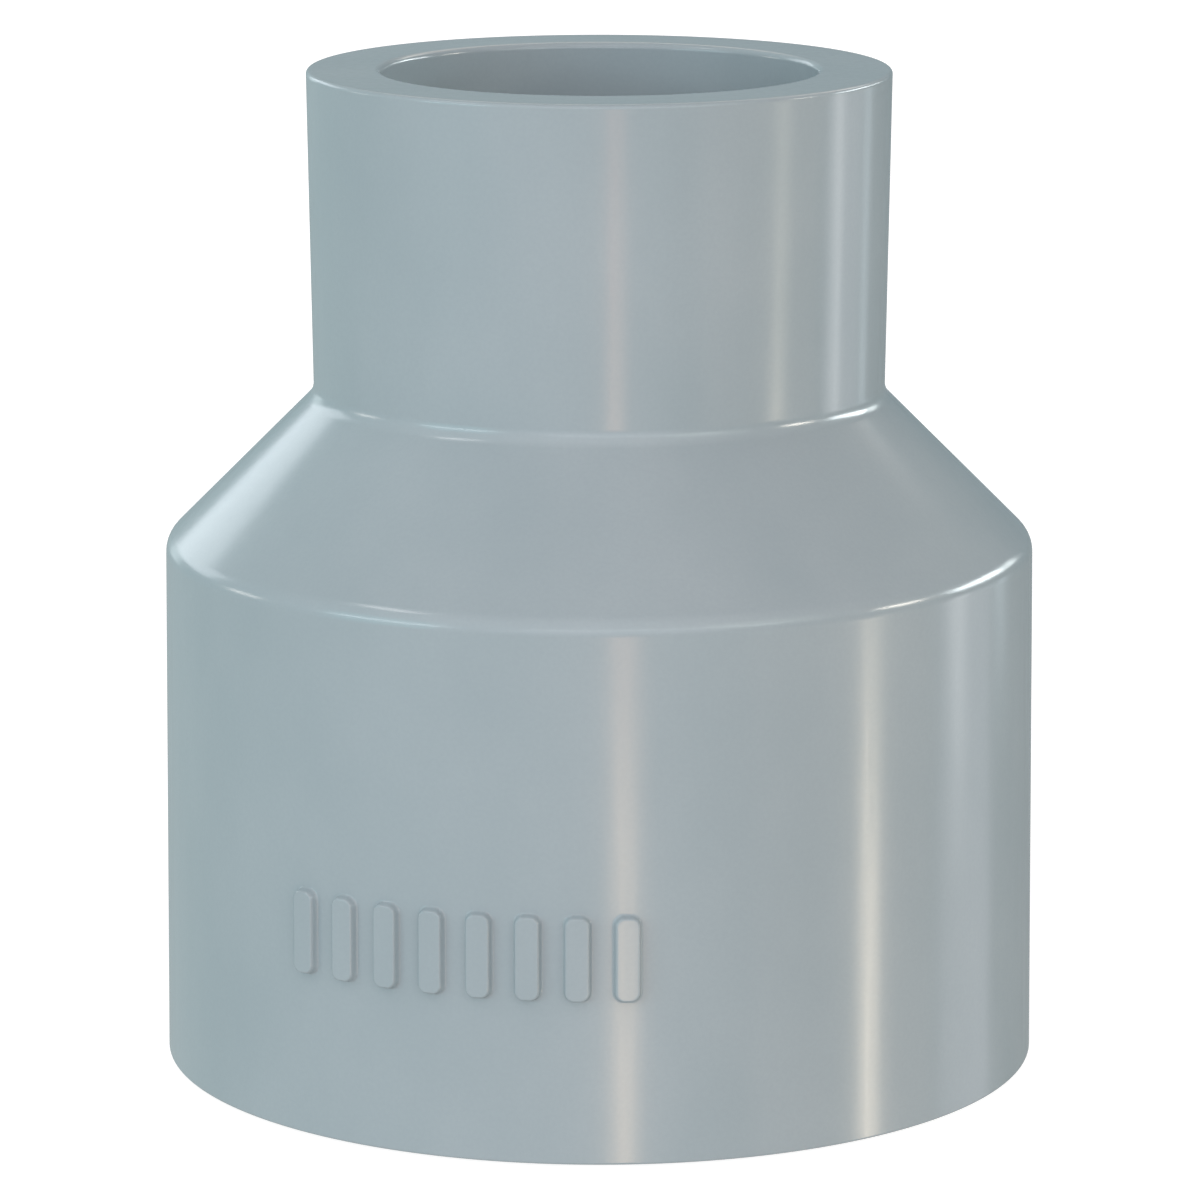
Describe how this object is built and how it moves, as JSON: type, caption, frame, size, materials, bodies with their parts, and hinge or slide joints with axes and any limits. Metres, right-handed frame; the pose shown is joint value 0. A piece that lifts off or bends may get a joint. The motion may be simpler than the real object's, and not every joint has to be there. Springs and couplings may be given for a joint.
{
  "type": "reducing coupling",
  "caption": "Plastic pipe reducing coupling: a large and a small solvent-weld socket on one axis, joined by a 45 degree cone.",
  "frame": {"origin": "centre of the large socket's mouth, in the plane the coupling stands on", "axes": "+Z along the common axis of both sockets, from the large mouth to the small mouth; -Y towards the side with the raised bars"},
  "size_m": [0.0436, 0.0439, 0.0494],
  "materials": {
    "grey_plastic": "semi-gloss injection-moulded PVC, blue-grey"
  },
  "bodies": {
    "root": {"reducer_body": "grey_plastic"}
  },
  "joints": []
}
